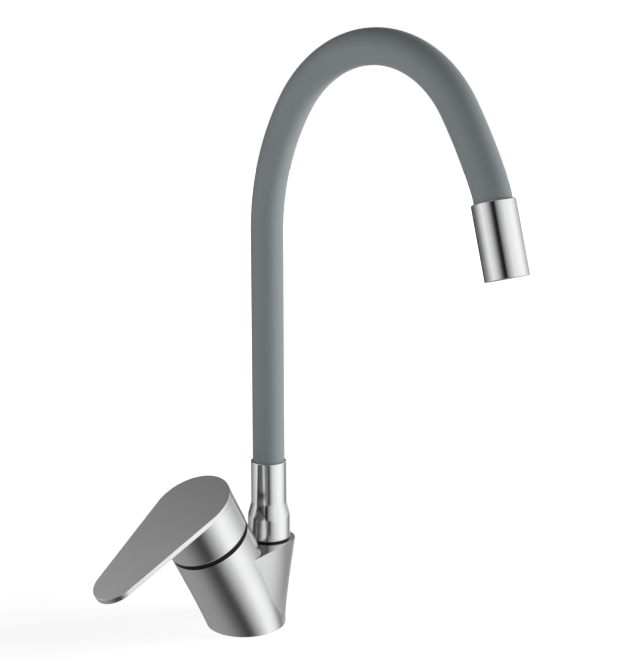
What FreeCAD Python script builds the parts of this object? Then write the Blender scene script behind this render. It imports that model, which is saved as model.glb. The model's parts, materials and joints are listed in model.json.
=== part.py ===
import FreeCAD, Part
import math
import os

import Sketcher
from FreeCAD import Placement, Rotation, Vector

# Flexible kitchen tap with a side lever.
# Millimetres and degrees. The origin is the centre of the base on the deck, and Z is up.
# The lever points to -X, and the spout stands on the +X side and reaches forward to -Y.

doc = FreeCAD.newDocument("FlexibleKitchenTap")

# Driving dimensions
SIZES = {
    # Base and its openings
    "base_radius": 25.0,
    "seal_inner_radius": 19.8,
    "seal_outer_radius": 22.4,
    "seal_depth": 2.0,
    "stud_hole_radius": 3.35,
    "stud_hole_depth": 12.0,
    "inlet_radius": 4.5,
    "inlet_depth": 12.0,
    "inlet_setback": 6.0,
    "inlet_spacing": 19.0,
    # Slanted cartridge housing, measured along the cartridge axis
    "cartridge_tilt": 28.8,
    "axis_foot": 4.14,
    "seam_rise": 69.83,
    "housing_mid_rise": 45.0,
    "housing_radius": 24.9,
    "cartridge_floor": 31.8,
    "can_radius": 17.5,
    "can_clearance": 0.1,
    "nut_bore_radius": 19.7,
    "nut_seat_rise": 62.0,
    # Spout column beside the housing
    "spout_offset": 20.56,
    "column_low_height": 16.0,
    "column_low_shift": 6.4,
    "column_low_radius": 21.5,
    "column_mid_height": 32.0,
    "column_mid_shift": 13.3,
    "column_mid_radius": 18.9,
    "column_top_height": 50.2,
    "column_top_shift": 19.9,
    "column_top_radius": 17.0,
    # Web that joins the column to the housing's flanks
    "web_inset": 0.07,
    "web_foot_shift": 0.45,
    "web_low_shift": -6.34,
    "web_mid_shift": -13.63,
    "web_top_shift": -22.58,
    "spigot_bore_radius": 9.5,
    "spigot_bore_depth": 16.5,
    "waterway_radius": 3.6,
    "waterway_height": 31.5,
    "port_radius": 2.4,
    "port_circle": 8.8,
    "feed_depth": 17.0,
    # Cartridge
    "cartridge_base_height": 5.7,
    "port_seal_radius": 3.2,
    "seal_cord_radius": 0.8,
    "fixed_disc_radius": 12.5,
    "fixed_disc_height": 4.0,
    "moving_disc_radius": 10.5,
    "moving_disc_height": 4.0,
    "mixing_recess_radius": 6.0,
    "mixing_recess_depth": 1.5,
    "carrier_radius": 10.8,
    "carrier_height": 4.7,
    "carrier_floor": 0.4,
    "can_wall": 2.9,
    "turret_radius": 11.95,
    "turret_flange_radius": 13.9,
    "turret_flange_height": 2.0,
    "turret_top_rise": 64.8,
    "running_gap": 0.05,
    "disc_gap": 0.02,
    "pivot_depth": 11.0,
    "pin_radius": 1.5,
    "pin_length": 21.6,
    "stem_slot_length": 14.0,
    "stem_side_gap": 0.15,
    "stem_width": 8.0,
    "stem_shoulder": 3.8,
    "stem_neck_radius": 2.6,
    "stem_ball_radius": 3.4,
    "stem_ball_drop": 9.0,
    "stem_top_above_seam": 21.8,
    "nut_height": 4.9,
    "nut_inner_radius": 13.0,
    "nut_thread_gap": 0.1,
    "nut_slot_width": 4.0,
    "nut_slot_depth": 1.6,
    "dust_ring_inner_radius": 16.0,
    "dust_ring_outer_radius": 24.2,
    "dust_ring_rise": 1.5,
    # Lever handle
    "cap_radius": 25.2,
    "cap_gap_front": 1.6,
    "cap_gap_back": 3.8,
    "skirt_wall": 1.2,
    "handle_top_rise": 29.7,
    "handle_ceiling": 4.5,
    "lever_thickness": 2.8,
    "lever_reach": 64.87,
    "lever_tip_radius": 13.76,
    "lever_flank_radius": 400.0,
    "lever_edge_round": 0.35,
    "boss_radius": 8.5,
    "boss_bottom_above_seam": 6.0,
    "socket_gap": 0.05,
    "grub_above_seam": 14.0,
    "grub_radius": 2.5,
    "grub_length": 4.4,
    "grub_hex_width": 2.5,
    "grub_hex_depth": 2.0,
    "index_plug_length": 2.6,
    "index_plug_sink": 0.35,
    # Swivel of the spout
    "slip_ring_height": 1.1,
    "slip_ring_inset": 0.8,
    "collar_foot_radius": 13.36,
    "collar_foot_height": 14.5,
    "collar_flare_height": 7.8,
    "collar_neck_radius": 11.22,
    "collar_height": 49.6,
    "collar_flare_round": 9.0,
    "collar_lip_round": 0.45,
    "collar_lower_bore_height": 15.5,
    "spigot_gap": 0.06,
    "spigot_end_gap": 0.5,
    "spigot_bore": 4.6,
    "o_ring_cord_radius": 0.9,
    "o_ring_groove_width": 2.2,
    "o_ring_low_height": 37.2,
    "o_ring_high_height": 47.2,
    "retaining_height": 42.2,
    "retaining_groove_radius": 7.9,
    "retaining_groove_width": 4.6,
    "retaining_screw_radius": 2.0,
    "retaining_tip_gap": 0.3,
    "retaining_screw_length": 6.0,
    # Flexible spout
    "sleeve_radius": 10.03,
    "sleeve_wall": 2.45,
    "layer_gap": 0.08,
    "gooseneck_wall": 2.4,
    "water_tube_wall": 1.3,
    "sleeve_socket_gap": 0.3,
    "ferrule_base_height": 6.0,
    "ferrule_base_gap": 0.2,
    "ferrule_barb_length": 10.0,
    "ferrule_bore": 3.0,
    "sleeve_lap": 2.5,
    "route_turn_height": 245.0,
    "shoulder_radius": 130.6,
    "shoulder_turn": 35.6,
    "crown_radius": 72.0,
    "crown_turn": 112.9,
    "fall_radius": 303.0,
    "fall_turn": 8.4,
    "mouth_radius": 40.0,
    "mouth_turn": 8.7,
    "mouth_run": 1.0,
    "lower_bend_height": 160.0,
    "flex_length": 40.0,
    # Outlet head
    "head_radius": 11.65,
    "head_length": 39.9,
    "head_top_round": 0.9,
    "head_bottom_round": 0.4,
    "head_socket_depth": 12.0,
    "aerator_bore_radius": 10.4,
    "aerator_bore_depth": 13.0,
    "aerator_ledge_radius": 7.0,
    "aerator_ledge_height": 2.0,
    "aerator_recess": 1.0,
    "aerator_radius": 10.3,
    "aerator_wall": 1.6,
    "aerator_height": 10.6,
    "aerator_gasket_height": 1.3,
    "insert_height": 7.0,
    "insert_hole_radius": 1.1,
    "insert_hole_circle": 5.2,
    "insert_hole_count": 8,
}

dims = doc.addObject("Spreadsheet::Sheet", "Dims")
for row, (alias, value) in enumerate(SIZES.items(), start=1):
    dims.set(f"A{row}", alias)
    dims.set(f"B{row}", str(value))
    dims.setAlias(f"B{row}", alias)
doc.recompute()


class Dim:
    """A size together with the sheet expression that it follows."""

    def __init__(self, value, text):
        self.value = value
        self.text = text

    def __add__(self, other):
        other = as_dim(other)
        return Dim(self.value + other.value, f"({self.text} + {other.text})")

    def __sub__(self, other):
        other = as_dim(other)
        return Dim(self.value - other.value, f"({self.text} - {other.text})")

    def __mul__(self, other):
        other = as_dim(other)
        return Dim(self.value * other.value, f"({self.text} * {other.text})")

    def __truediv__(self, other):
        other = as_dim(other)
        return Dim(self.value / other.value, f"({self.text} / {other.text})")

    def __neg__(self):
        return Dim(-self.value, f"(0 - {self.text})")


def as_dim(thing):
    return thing if isinstance(thing, Dim) else Dim(thing, repr(thing))


def cell(alias):
    return Dim(float(getattr(dims, alias)), f"Dims.{alias}")


def sine(angle):
    return Dim(math.sin(math.radians(angle.value)), f"sin({angle.text})")


def cosine(angle):
    return Dim(math.cos(math.radians(angle.value)), f"cos({angle.text})")


def bind(thing, path, dim):
    thing.setExpression(path, dim.text)


ZERO = as_dim(0.0)
TILT = cell("cartridge_tilt")

# Sizes that follow from the driving ones
PIVOT_RISE = cell("seam_rise") - cell("pivot_depth")
COLLAR_BOTTOM = cell("column_top_height") + cell("slip_ring_height") + cell("running_gap")
COLLAR_TOP = COLLAR_BOTTOM + cell("collar_height")
SPIGOT_RADIUS = cell("spigot_bore_radius") - cell("spigot_gap")
SPIGOT_BOTTOM = cell("column_top_height") - cell("spigot_bore_depth") + cell("spigot_end_gap")
SPIGOT_TOP = COLLAR_BOTTOM + cell("collar_lower_bore_height")
SLEEVE_BORE = cell("sleeve_radius") - cell("sleeve_wall")
GOOSENECK_RADIUS = SLEEVE_BORE - cell("layer_gap")
GOOSENECK_BORE = GOOSENECK_RADIUS - cell("gooseneck_wall")
WATER_TUBE_RADIUS = GOOSENECK_BORE - cell("layer_gap")
WATER_TUBE_BORE = WATER_TUBE_RADIUS - cell("water_tube_wall")
SOCKET_RADIUS = cell("sleeve_radius") + cell("sleeve_socket_gap")
FERRULE_RADIUS = SOCKET_RADIUS - cell("ferrule_base_gap")
FERRULE_TOP = SPIGOT_TOP + cell("ferrule_base_height")
CAN_BORE = cell("can_radius") - cell("can_wall")
BASE_TOP_RISE = cell("cartridge_floor") + cell("seal_cord_radius") * 0.6 + cell("cartridge_base_height")
FIXED_DISC_TOP = BASE_TOP_RISE + cell("fixed_disc_height")
MOVING_DISC_BOTTOM = FIXED_DISC_TOP + cell("disc_gap")
MOVING_DISC_TOP = MOVING_DISC_BOTTOM + cell("moving_disc_height")
CARRIER_TOP = MOVING_DISC_TOP + cell("carrier_height")
TURRET_BOTTOM = CARRIER_TOP + cell("spigot_end_gap")
TURRET_SHOULDER = TURRET_BOTTOM + cell("turret_flange_height")
HANDLE_TOP = cell("seam_rise") + cell("handle_top_rise")
PORT_COUNT = 3
HEX_SIDES = 6


# Drawing helpers

def place(thing, x=ZERO, y=ZERO, z=ZERO, axis=None, angle=ZERO):
    """Put a piece at a point, turned about one axis, with everything bound to the sheet."""
    turn = Rotation(axis or Vector(0, 0, 1), angle.value)
    thing.Placement = Placement(Vector(x.value, y.value, z.value), turn)
    bind(thing, ".Placement.Base.x", x)
    bind(thing, ".Placement.Base.y", y)
    bind(thing, ".Placement.Base.z", z)
    if axis:
        bind(thing, ".Placement.Rotation.Angle", angle)


def in_cartridge_frame(thing):
    """Stand a piece on the slanted cartridge axis, with its heights measured from the deck."""
    place(thing, x=cell("axis_foot"), axis=Vector(0, 1, 0), angle=-TILT)
    return thing


def in_spout_frame(thing):
    place(thing, x=cell("spout_offset"))
    return thing


def new_body(label):
    body = doc.addObject("PartDesign::Body", label)
    body.Label = label
    return body


def new_sketch(body, name, plane="XY_Plane", x=ZERO, y=ZERO, z=ZERO, axis=None, angle=ZERO):
    """A sketch on one of the body's own origin planes, moved by an offset bound to the sheet."""
    sketch = body.newObject("Sketcher::SketchObject", name)
    support = next(f for f in body.Origin.OriginFeatures if f.Role == plane)
    sketch.AttachmentSupport = [(support, "")]
    sketch.MapMode = "FlatFace"
    turn = Rotation(axis or Vector(0, 0, 1), angle.value)
    sketch.AttachmentOffset = Placement(Vector(x.value, y.value, z.value), turn)
    bind(sketch, ".AttachmentOffset.Base.x", x)
    bind(sketch, ".AttachmentOffset.Base.y", y)
    bind(sketch, ".AttachmentOffset.Base.z", z)
    if axis:
        bind(sketch, ".AttachmentOffset.Rotation.Angle", angle)
    return sketch


def fix(sketch, constraint, dim):
    index = sketch.addConstraint(constraint)
    sketch.setExpression(f"Constraints[{index}]", dim.text)


def fix_point(sketch, edge, end, x, y):
    """Hold one end of an edge at a point measured from the sketch's origin."""
    fix(sketch, Sketcher.Constraint("DistanceX", -1, 1, edge, end, x.value), x)
    fix(sketch, Sketcher.Constraint("DistanceY", -1, 1, edge, end, y.value), y)


def draw_polygon(sketch, points):
    points = [(as_dim(x), as_dim(y)) for x, y in points]
    count = len(points)
    for i, (x, y) in enumerate(points):
        x2, y2 = points[(i + 1) % count]
        sketch.addGeometry(Part.LineSegment(Vector(x.value, y.value, 0), Vector(x2.value, y2.value, 0)))
    for i in range(count):
        sketch.addConstraint(Sketcher.Constraint("Coincident", i, 2, (i + 1) % count, 1))
    for i, (x, y) in enumerate(points):
        fix_point(sketch, i, 1, x, y)


def draw_circle(sketch, radius, x=ZERO, y=ZERO):
    edge = sketch.addGeometry(Part.Circle(Vector(x.value, y.value, 0), Vector(0, 0, 1), radius.value))
    fix_point(sketch, edge, 3, x, y)
    fix(sketch, Sketcher.Constraint("Radius", edge, radius.value), radius)


def draw_rectangle(sketch, width, height, x=ZERO, y=ZERO):
    half_w = width / 2
    half_h = height / 2
    corners = [(x - half_w, y - half_h), (x + half_w, y - half_h)]
    corners += [(x + half_w, y + half_h), (x - half_w, y + half_h)]
    draw_polygon(sketch, corners)


def draw_hull(sketch, left, left_radius, right, right_radius):
    """Two circles on the X axis, joined by their outer tangent lines."""
    span = right.value - left.value
    lean = math.acos((left_radius.value - right_radius.value) / span)
    normal = Vector(0, 0, 1)
    tangents = []
    for centre, radius in ((left, left_radius), (right, right_radius)):
        x = centre.value + radius.value * math.cos(lean)
        tangents.append((x, radius.value * math.sin(lean)))
    (left_x, left_y), (right_x, right_y) = tangents
    left_circle = Part.Circle(Vector(left.value, 0, 0), normal, left_radius.value)
    right_circle = Part.Circle(Vector(right.value, 0, 0), normal, right_radius.value)
    sketch.addGeometry(Part.ArcOfCircle(left_circle, lean, 2 * math.pi - lean))
    sketch.addGeometry(Part.LineSegment(Vector(left_x, -left_y, 0), Vector(right_x, -right_y, 0)))
    sketch.addGeometry(Part.ArcOfCircle(right_circle, -lean, lean))
    sketch.addGeometry(Part.LineSegment(Vector(right_x, right_y, 0), Vector(left_x, left_y, 0)))
    for first, end, second, start in ((0, 2, 1, 1), (1, 2, 2, 1), (2, 2, 3, 1), (3, 2, 0, 1)):
        sketch.addConstraint(Sketcher.Constraint("Tangent", first, end, second, start))
    fix_point(sketch, 0, 3, left, ZERO)
    fix_point(sketch, 2, 3, right, ZERO)
    fix(sketch, Sketcher.Constraint("Radius", 0, left_radius.value), left_radius)
    fix(sketch, Sketcher.Constraint("Radius", 2, right_radius.value), right_radius)


def revolve(body, profile, name):
    sketch = new_sketch(body, name + "_profile", "XZ_Plane")
    draw_polygon(sketch, profile)
    turn = body.newObject("PartDesign::Revolution", name)
    turn.Profile = sketch
    turn.ReferenceAxis = (sketch, ["V_Axis"])
    turn.Angle = 360
    return turn


def turned(label, profile):
    """A piece turned about its own Z axis from a closed profile of radius and height."""
    body = new_body(label)
    revolve(body, profile, label + "_turn")
    return body


def ring(label, inner, outer, bottom, top):
    return turned(label, [(inner, bottom), (outer, bottom), (outer, top), (inner, top)])


def pad(body, sketch, name, length, reverse=False, midplane=False):
    feature = body.newObject("PartDesign::Pad", name)
    feature.Refine = False
    feature.Profile = sketch
    bind(feature, "Length", length)
    feature.Reversed = reverse
    feature.Midplane = midplane
    return feature


def pocket(body, sketch, name, length, reverse=False, midplane=False):
    """Cut a pocket and make sure that it took material away."""
    doc.recompute()
    before = body.Shape.Volume
    feature = body.newObject("PartDesign::Pocket", name)
    feature.Refine = False
    feature.Profile = sketch
    bind(feature, "Length", length)
    feature.Reversed = reverse
    feature.Midplane = midplane
    doc.recompute()
    if body.Shape.Volume >= before:
        raise RuntimeError(f"{name} cut nothing")
    return feature


def polar(body, feature, name, count):
    """Repeat a feature around the body's Z axis."""
    pattern = body.newObject("PartDesign::PolarPattern", name)
    pattern.Originals = [feature]
    z_axis = next(f for f in body.Origin.OriginFeatures if f.Role == "Z_Axis")
    pattern.Axis = (z_axis, [""])
    pattern.Angle = 360
    if isinstance(count, Dim):
        pattern.Occurrences = int(count.value)
        bind(pattern, "Occurrences", count)
    else:
        pattern.Occurrences = count
    body.Tip = pattern
    return pattern


def edges_at(shape, radius, height, tolerance=0.02):
    """Names of the full circles of one radius at one height of a turned piece."""
    names = []
    for i, edge in enumerate(shape.Edges, start=1):
        box = edge.BoundBox
        if abs(box.ZMin - height) > tolerance or abs(box.ZMax - height) > tolerance:
            continue
        if abs(max(box.XMax, -box.XMin) - radius) < tolerance:
            names.append(f"Edge{i}")
    return names


def round_edges(body, name, radius, edges, kind="PartDesign::Fillet"):
    base = body.Tip
    feature = body.newObject(kind, name)
    feature.Base = (base, edges)
    bind(feature, "Radius" if kind == "PartDesign::Fillet" else "Size", radius)
    return feature


def tip_edges(body, radius, height):
    doc.recompute()
    return edges_at(body.Tip.Shape, radius.value, height.value)


def loft(body, sketches, name):
    feature = body.newObject("PartDesign::AdditiveLoft", name)
    feature.Profile = sketches[0]
    feature.Sections = [(section, [""]) for section in sketches[1:]]
    feature.Ruled = False
    feature.Refine = False
    return feature


def group_of(label, parts):
    """Equal small pieces kept together as one node of separate solids."""
    group = doc.addObject("Part::Compound", label)
    group.Label = label
    group.Links = parts
    return group


def o_ring(name, radius, cord, height):
    torus = doc.addObject("Part::Torus", name)
    bind(torus, "Radius1", radius)
    bind(torus, "Radius2", cord)
    torus.Placement = Placement(Vector(0, 0, height.value), Rotation())
    bind(torus, ".Placement.Base.z", height)
    return torus


# Body casting: the slanted housing and the spout column grow out of one round base

def make_body_casting():
    body = new_body("body_casting")
    column = []
    foot = new_sketch(body, "column_foot")
    shift = cell("web_foot_shift")
    foot_radius = cell("base_radius") - cell("web_inset") - shift
    draw_hull(foot, -shift, foot_radius, shift, foot_radius)
    column.append(foot)
    for part in ("low", "mid", "top"):
        section = new_sketch(body, f"column_{part}", z=cell(f"column_{part}_height"))
        draw_hull(section, cell(f"web_{part}_shift"), cell("housing_radius") - cell("web_inset"),
                  cell(f"column_{part}_shift"), cell(f"column_{part}_radius"))
        column.append(section)
    loft(body, column, "column_skin")

    housing = []
    foot = new_sketch(body, "housing_foot")
    draw_circle(foot, cell("base_radius"))
    housing.append(foot)
    for name, rise in (("housing_middle", cell("housing_mid_rise")), ("housing_rim", cell("seam_rise"))):
        x = cell("axis_foot") - sine(TILT) * rise
        z = cosine(TILT) * rise
        section = new_sketch(body, name, x=x, z=z, axis=Vector(0, 1, 0), angle=-TILT)
        draw_circle(section, cell("housing_radius"))
        housing.append(section)
    loft(body, housing, "housing_skin")

    cartridge_bores = (
        ("cartridge_bore", "seam_rise", cell("can_radius") + cell("can_clearance"), "cartridge_floor"),
        ("nut_bore", "seam_rise", cell("nut_bore_radius"), "nut_seat_rise"),
    )
    for name, top_rise, radius, floor in cartridge_bores:
        x = cell("axis_foot") - sine(TILT) * cell(top_rise)
        z = cosine(TILT) * cell(top_rise)
        mouth = new_sketch(body, name + "_mouth", x=x, z=z, axis=Vector(0, 1, 0), angle=-TILT)
        draw_circle(mouth, radius)
        pocket(body, mouth, name, cell(top_rise) - cell(floor))

    spout_mouth = new_sketch(body, "spout_mouth", z=cell("column_top_height"))
    draw_circle(spout_mouth, cell("spigot_bore_radius"), x=cell("spout_offset"))
    pocket(body, spout_mouth, "spigot_bore", cell("spigot_bore_depth"))
    drop = new_sketch(body, "waterway_mouth", z=cell("column_top_height") - cell("spigot_bore_depth"))
    draw_circle(drop, cell("waterway_radius"), x=cell("spout_offset"))
    drop_depth = cell("column_top_height") - cell("spigot_bore_depth") - cell("waterway_height")
    pocket(body, drop, "waterway_drop", drop_depth + cell("waterway_radius"))
    across = new_sketch(body, "waterway_section", "YZ_Plane", z=cell("spout_offset"))
    draw_circle(across, cell("waterway_radius"), y=cell("waterway_height"))
    pocket(body, across, "waterway", cell("spout_offset") + cell("port_circle") / 2)

    floor_x = cell("axis_foot") - sine(TILT) * cell("cartridge_floor")
    floor_z = cosine(TILT) * cell("cartridge_floor")
    feeds = new_sketch(body, "feed_mouths", x=floor_x, z=floor_z, axis=Vector(0, 1, 0), angle=-TILT)
    for side in (1, -1):
        y = cell("port_circle") * sine(as_dim(60)) * side
        draw_circle(feeds, cell("port_radius"), x=-(cell("port_circle") / 2), y=y)
    pocket(body, feeds, "feeds", cell("feed_depth"))

    stud = new_sketch(body, "stud_mouth")
    draw_circle(stud, cell("stud_hole_radius"))
    pocket(body, stud, "stud_hole", cell("stud_hole_depth"), reverse=True)
    inlets = new_sketch(body, "inlet_mouths")
    for side in (1, -1):
        draw_circle(inlets, cell("inlet_radius"), x=-cell("inlet_setback"), y=cell("inlet_spacing") / 2 * side)
    pocket(body, inlets, "inlets", cell("inlet_depth"), reverse=True)
    groove = new_sketch(body, "seal_groove_rings")
    draw_circle(groove, cell("seal_inner_radius"))
    draw_circle(groove, cell("seal_outer_radius"))
    pocket(body, groove, "seal_groove", cell("seal_depth"), reverse=True)

    screw = new_sketch(body, "retaining_mouth", "XZ_Plane")
    hole_radius = cell("retaining_screw_radius") + cell("running_gap")
    draw_circle(screw, hole_radius, x=cell("spout_offset"), y=cell("retaining_height"))
    pocket(body, screw, "retaining_hole", cell("base_radius"))
    return body


def make_base_seal():
    return ring("base_seal", cell("seal_inner_radius"), cell("seal_outer_radius"), ZERO, cell("seal_depth"))


# Cartridge pieces, all on the slanted axis

def make_cartridge():
    floor = cell("cartridge_floor") + cell("seal_cord_radius") * 0.6
    wall_gap = cell("can_clearance")

    base = ring("cartridge_base", as_dim(0.0), cell("can_radius") - wall_gap, floor, BASE_TOP_RISE)
    port = new_sketch(base, "port_circle", z=floor)
    draw_circle(port, cell("port_radius"), x=cell("port_circle"))
    hole = pocket(base, port, "port", cell("cartridge_base_height"), reverse=True)
    polar(base, hole, "ports", PORT_COUNT)
    recess = new_sketch(base, "seal_recess_circle", z=floor)
    draw_circle(recess, cell("port_seal_radius") + cell("seal_cord_radius"), x=cell("port_circle"))
    seat = pocket(base, recess, "seal_recess", cell("seal_cord_radius") * 1.4, reverse=True)
    polar(base, seat, "seal_recesses", PORT_COUNT)
    in_cartridge_frame(base)

    seals = []
    for i in range(PORT_COUNT):
        angle = as_dim(360.0 / PORT_COUNT * i)
        seal = o_ring(f"port_seal_{i + 1}", cell("port_seal_radius"), cell("seal_cord_radius"),
                      cell("cartridge_floor") + cell("seal_cord_radius"))
        bind(seal, ".Placement.Base.x", cell("port_circle") * cosine(angle))
        bind(seal, ".Placement.Base.y", cell("port_circle") * sine(angle))
        seals.append(seal)
    in_cartridge_frame(group_of("port_seals", seals))

    disc = ring("fixed_disc", as_dim(0.0), cell("fixed_disc_radius"), BASE_TOP_RISE, FIXED_DISC_TOP)
    port = new_sketch(disc, "disc_port_circle", z=BASE_TOP_RISE)
    draw_circle(port, cell("port_radius"), x=cell("port_circle"))
    hole = pocket(disc, port, "disc_port", cell("fixed_disc_height"), reverse=True)
    polar(disc, hole, "disc_ports", PORT_COUNT)
    in_cartridge_frame(disc)

    can_profile = [
        (CAN_BORE, BASE_TOP_RISE), (cell("can_radius"), BASE_TOP_RISE),
        (cell("can_radius"), cell("nut_seat_rise")),
        (cell("turret_radius") + cell("running_gap"), cell("nut_seat_rise")),
        (cell("turret_radius") + cell("running_gap"), TURRET_SHOULDER + cell("running_gap")),
        (CAN_BORE, TURRET_SHOULDER + cell("running_gap")),
    ]
    in_cartridge_frame(turned("cartridge_can", can_profile))

    moving_profile = [
        (cell("mixing_recess_radius"), MOVING_DISC_BOTTOM), (cell("moving_disc_radius"), MOVING_DISC_BOTTOM),
        (cell("moving_disc_radius"), MOVING_DISC_TOP), (ZERO, MOVING_DISC_TOP),
        (ZERO, MOVING_DISC_BOTTOM + cell("mixing_recess_depth")),
        (cell("mixing_recess_radius"), MOVING_DISC_BOTTOM + cell("mixing_recess_depth")),
    ]
    in_cartridge_frame(turned("moving_disc", moving_profile))

    socket = cell("stem_ball_radius") + cell("running_gap") * 2
    carrier_profile = [
        (ZERO, MOVING_DISC_TOP), (cell("carrier_radius"), MOVING_DISC_TOP),
        (cell("carrier_radius"), CARRIER_TOP), (socket, CARRIER_TOP),
        (socket, MOVING_DISC_TOP + cell("carrier_floor")), (ZERO, MOVING_DISC_TOP + cell("carrier_floor")),
    ]
    in_cartridge_frame(turned("disc_carrier", carrier_profile))

    turret_profile = [
        (ZERO, TURRET_BOTTOM), (cell("turret_flange_radius"), TURRET_BOTTOM),
        (cell("turret_flange_radius"), TURRET_SHOULDER), (cell("turret_radius"), TURRET_SHOULDER),
        (cell("turret_radius"), cell("turret_top_rise")), (ZERO, cell("turret_top_rise")),
    ]
    turret = turned("turret", turret_profile)
    slot = new_sketch(turret, "stem_slot", z=cell("turret_top_rise"))
    draw_rectangle(slot, cell("stem_slot_length"), cell("stem_width") + cell("stem_side_gap") * 2)
    pocket(turret, slot, "stem_way", cell("turret_top_rise") - TURRET_BOTTOM)
    pin_hole = new_sketch(turret, "pin_hole_circle", "XZ_Plane")
    draw_circle(pin_hole, cell("pin_radius"), y=PIVOT_RISE)
    pocket(turret, pin_hole, "pin_hole", cell("turret_radius") * 2, midplane=True)
    in_cartridge_frame(turret)

    pin = new_body("pivot_pin")
    circle = new_sketch(pin, "pin_circle", "XZ_Plane")
    draw_circle(circle, cell("pin_radius"), y=PIVOT_RISE)
    pad(pin, circle, "pin", cell("pin_length"), midplane=True)
    in_cartridge_frame(pin)

    nut_bottom = cell("nut_seat_rise") + cell("running_gap")
    nut_top = nut_bottom + cell("nut_height")
    thread = cell("nut_bore_radius") - cell("nut_thread_gap")
    nut = ring("retaining_nut", cell("nut_inner_radius"), thread, nut_bottom, nut_top)
    slot = new_sketch(nut, "spanner_slot_outline", z=nut_top)
    draw_rectangle(slot, cell("nut_bore_radius"), cell("nut_slot_width"), x=cell("nut_bore_radius"))
    notch = pocket(nut, slot, "spanner_slot", cell("nut_slot_depth"))
    polar(nut, notch, "spanner_slots", 4)
    in_cartridge_frame(nut)

    ring_top = cell("seam_rise") + cell("dust_ring_rise")
    seam = cell("seam_rise") + cell("disc_gap")
    dust_profile = [
        (cell("dust_ring_inner_radius"), nut_top + cell("running_gap")), (thread, nut_top + cell("running_gap")),
        (thread, seam), (cell("dust_ring_outer_radius"), seam),
        (cell("dust_ring_outer_radius"), ring_top), (cell("dust_ring_inner_radius"), ring_top),
    ]
    in_cartridge_frame(turned("dust_ring", dust_profile))


# Lever handle and the stem that it turns

def draw_teardrop(sketch):
    """The cap's circle, the lever's round tip and two hollow flanks tangent to both."""
    big = cell("cap_radius").value
    tip = cell("lever_tip_radius").value
    reach = cell("lever_reach").value
    flank = cell("lever_flank_radius").value
    along = (reach ** 2 + (big + flank) ** 2 - (tip + flank) ** 2) / (2 * reach)
    side = math.sqrt((big + flank) ** 2 - along ** 2)
    angle_big = math.atan2(side, -along)
    angle_tip = math.atan2(side, reach - along)
    normal = Vector(0, 0, 1)
    cap_circle = Part.Circle(Vector(0, 0, 0), normal, big)
    tip_circle = Part.Circle(Vector(-reach, 0, 0), normal, tip)
    upper_circle = Part.Circle(Vector(-along, side, 0), normal, flank)
    lower_circle = Part.Circle(Vector(-along, -side, 0), normal, flank)
    sketch.addGeometry(Part.ArcOfCircle(cap_circle, -angle_big, angle_big))
    sketch.addGeometry(Part.ArcOfCircle(upper_circle, angle_tip + math.pi, angle_big + math.pi))
    sketch.addGeometry(Part.ArcOfCircle(tip_circle, angle_tip, 2 * math.pi - angle_tip))
    sketch.addGeometry(Part.ArcOfCircle(lower_circle, math.pi - angle_big, math.pi - angle_tip))
    for first, end, second, start in ((0, 2, 1, 2), (1, 1, 2, 1), (2, 2, 3, 2), (3, 1, 0, 1)):
        sketch.addConstraint(Sketcher.Constraint("Tangent", first, end, second, start))
    fix_point(sketch, 0, 3, ZERO, ZERO)
    fix_point(sketch, 2, 3, -cell("lever_reach"), ZERO)
    fix(sketch, Sketcher.Constraint("Radius", 0, big), cell("cap_radius"))
    fix(sketch, Sketcher.Constraint("Radius", 2, tip), cell("lever_tip_radius"))
    fix(sketch, Sketcher.Constraint("Radius", 1, flank), cell("lever_flank_radius"))
    sketch.addConstraint(Sketcher.Constraint("Equal", 1, 3))


def make_lever_handle():
    body = new_body("lever_handle")
    skirt_bottom = cell("seam_rise") + cell("cap_gap_front")
    plate_bottom = HANDLE_TOP - cell("lever_thickness")
    plate = new_sketch(body, "lever_outline", z=plate_bottom)
    draw_teardrop(plate)
    pad(body, plate, "lever_plate", cell("lever_thickness"))
    doc.recompute()
    rim = [
        f"Edge{i}" for i, edge in enumerate(body.Tip.Shape.Edges, start=1)
        if abs(edge.BoundBox.ZMin - HANDLE_TOP.value) < 0.01
    ]
    round_edges(body, "lever_edge", cell("lever_edge_round"), rim)
    cap = new_sketch(body, "cap_circle", z=skirt_bottom)
    draw_circle(cap, cell("cap_radius"))
    pad(body, cap, "cap", plate_bottom - skirt_bottom)

    cavity = new_sketch(body, "cavity_circle", z=skirt_bottom)
    draw_circle(cavity, cell("cap_radius") - cell("skirt_wall"))
    ceiling = HANDLE_TOP - cell("handle_ceiling")
    pocket(body, cavity, "cavity", ceiling - skirt_bottom, reverse=True)

    wedge = new_sketch(body, "skirt_wedge", "XZ_Plane")
    side = cell("cap_radius") + 1
    low = skirt_bottom - 1
    back = cell("seam_rise") + cell("cap_gap_back")
    draw_polygon(wedge, [(-side, low), (side, low), (side, back), (-side, skirt_bottom)])
    pocket(body, wedge, "skirt_slope", side * 2, midplane=True)

    boss_bottom = cell("seam_rise") + cell("boss_bottom_above_seam")
    boss = new_sketch(body, "boss_circle", z=boss_bottom)
    draw_circle(boss, cell("boss_radius"))
    pad(body, boss, "boss", ceiling - boss_bottom)
    socket = new_sketch(body, "socket_square", z=boss_bottom)
    width = cell("stem_width") + cell("socket_gap") * 2
    draw_rectangle(socket, width, width)
    socket_depth = cell("stem_top_above_seam") - cell("boss_bottom_above_seam") + cell("socket_gap")
    pocket(body, socket, "stem_socket", socket_depth, reverse=True)
    grub = new_sketch(body, "grub_mouth", "YZ_Plane")
    draw_circle(grub, cell("grub_radius") + cell("socket_gap"), y=cell("seam_rise") + cell("grub_above_seam"))
    pocket(body, grub, "grub_way", cell("cap_radius") + 1, reverse=True)
    in_cartridge_frame(body)


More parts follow.
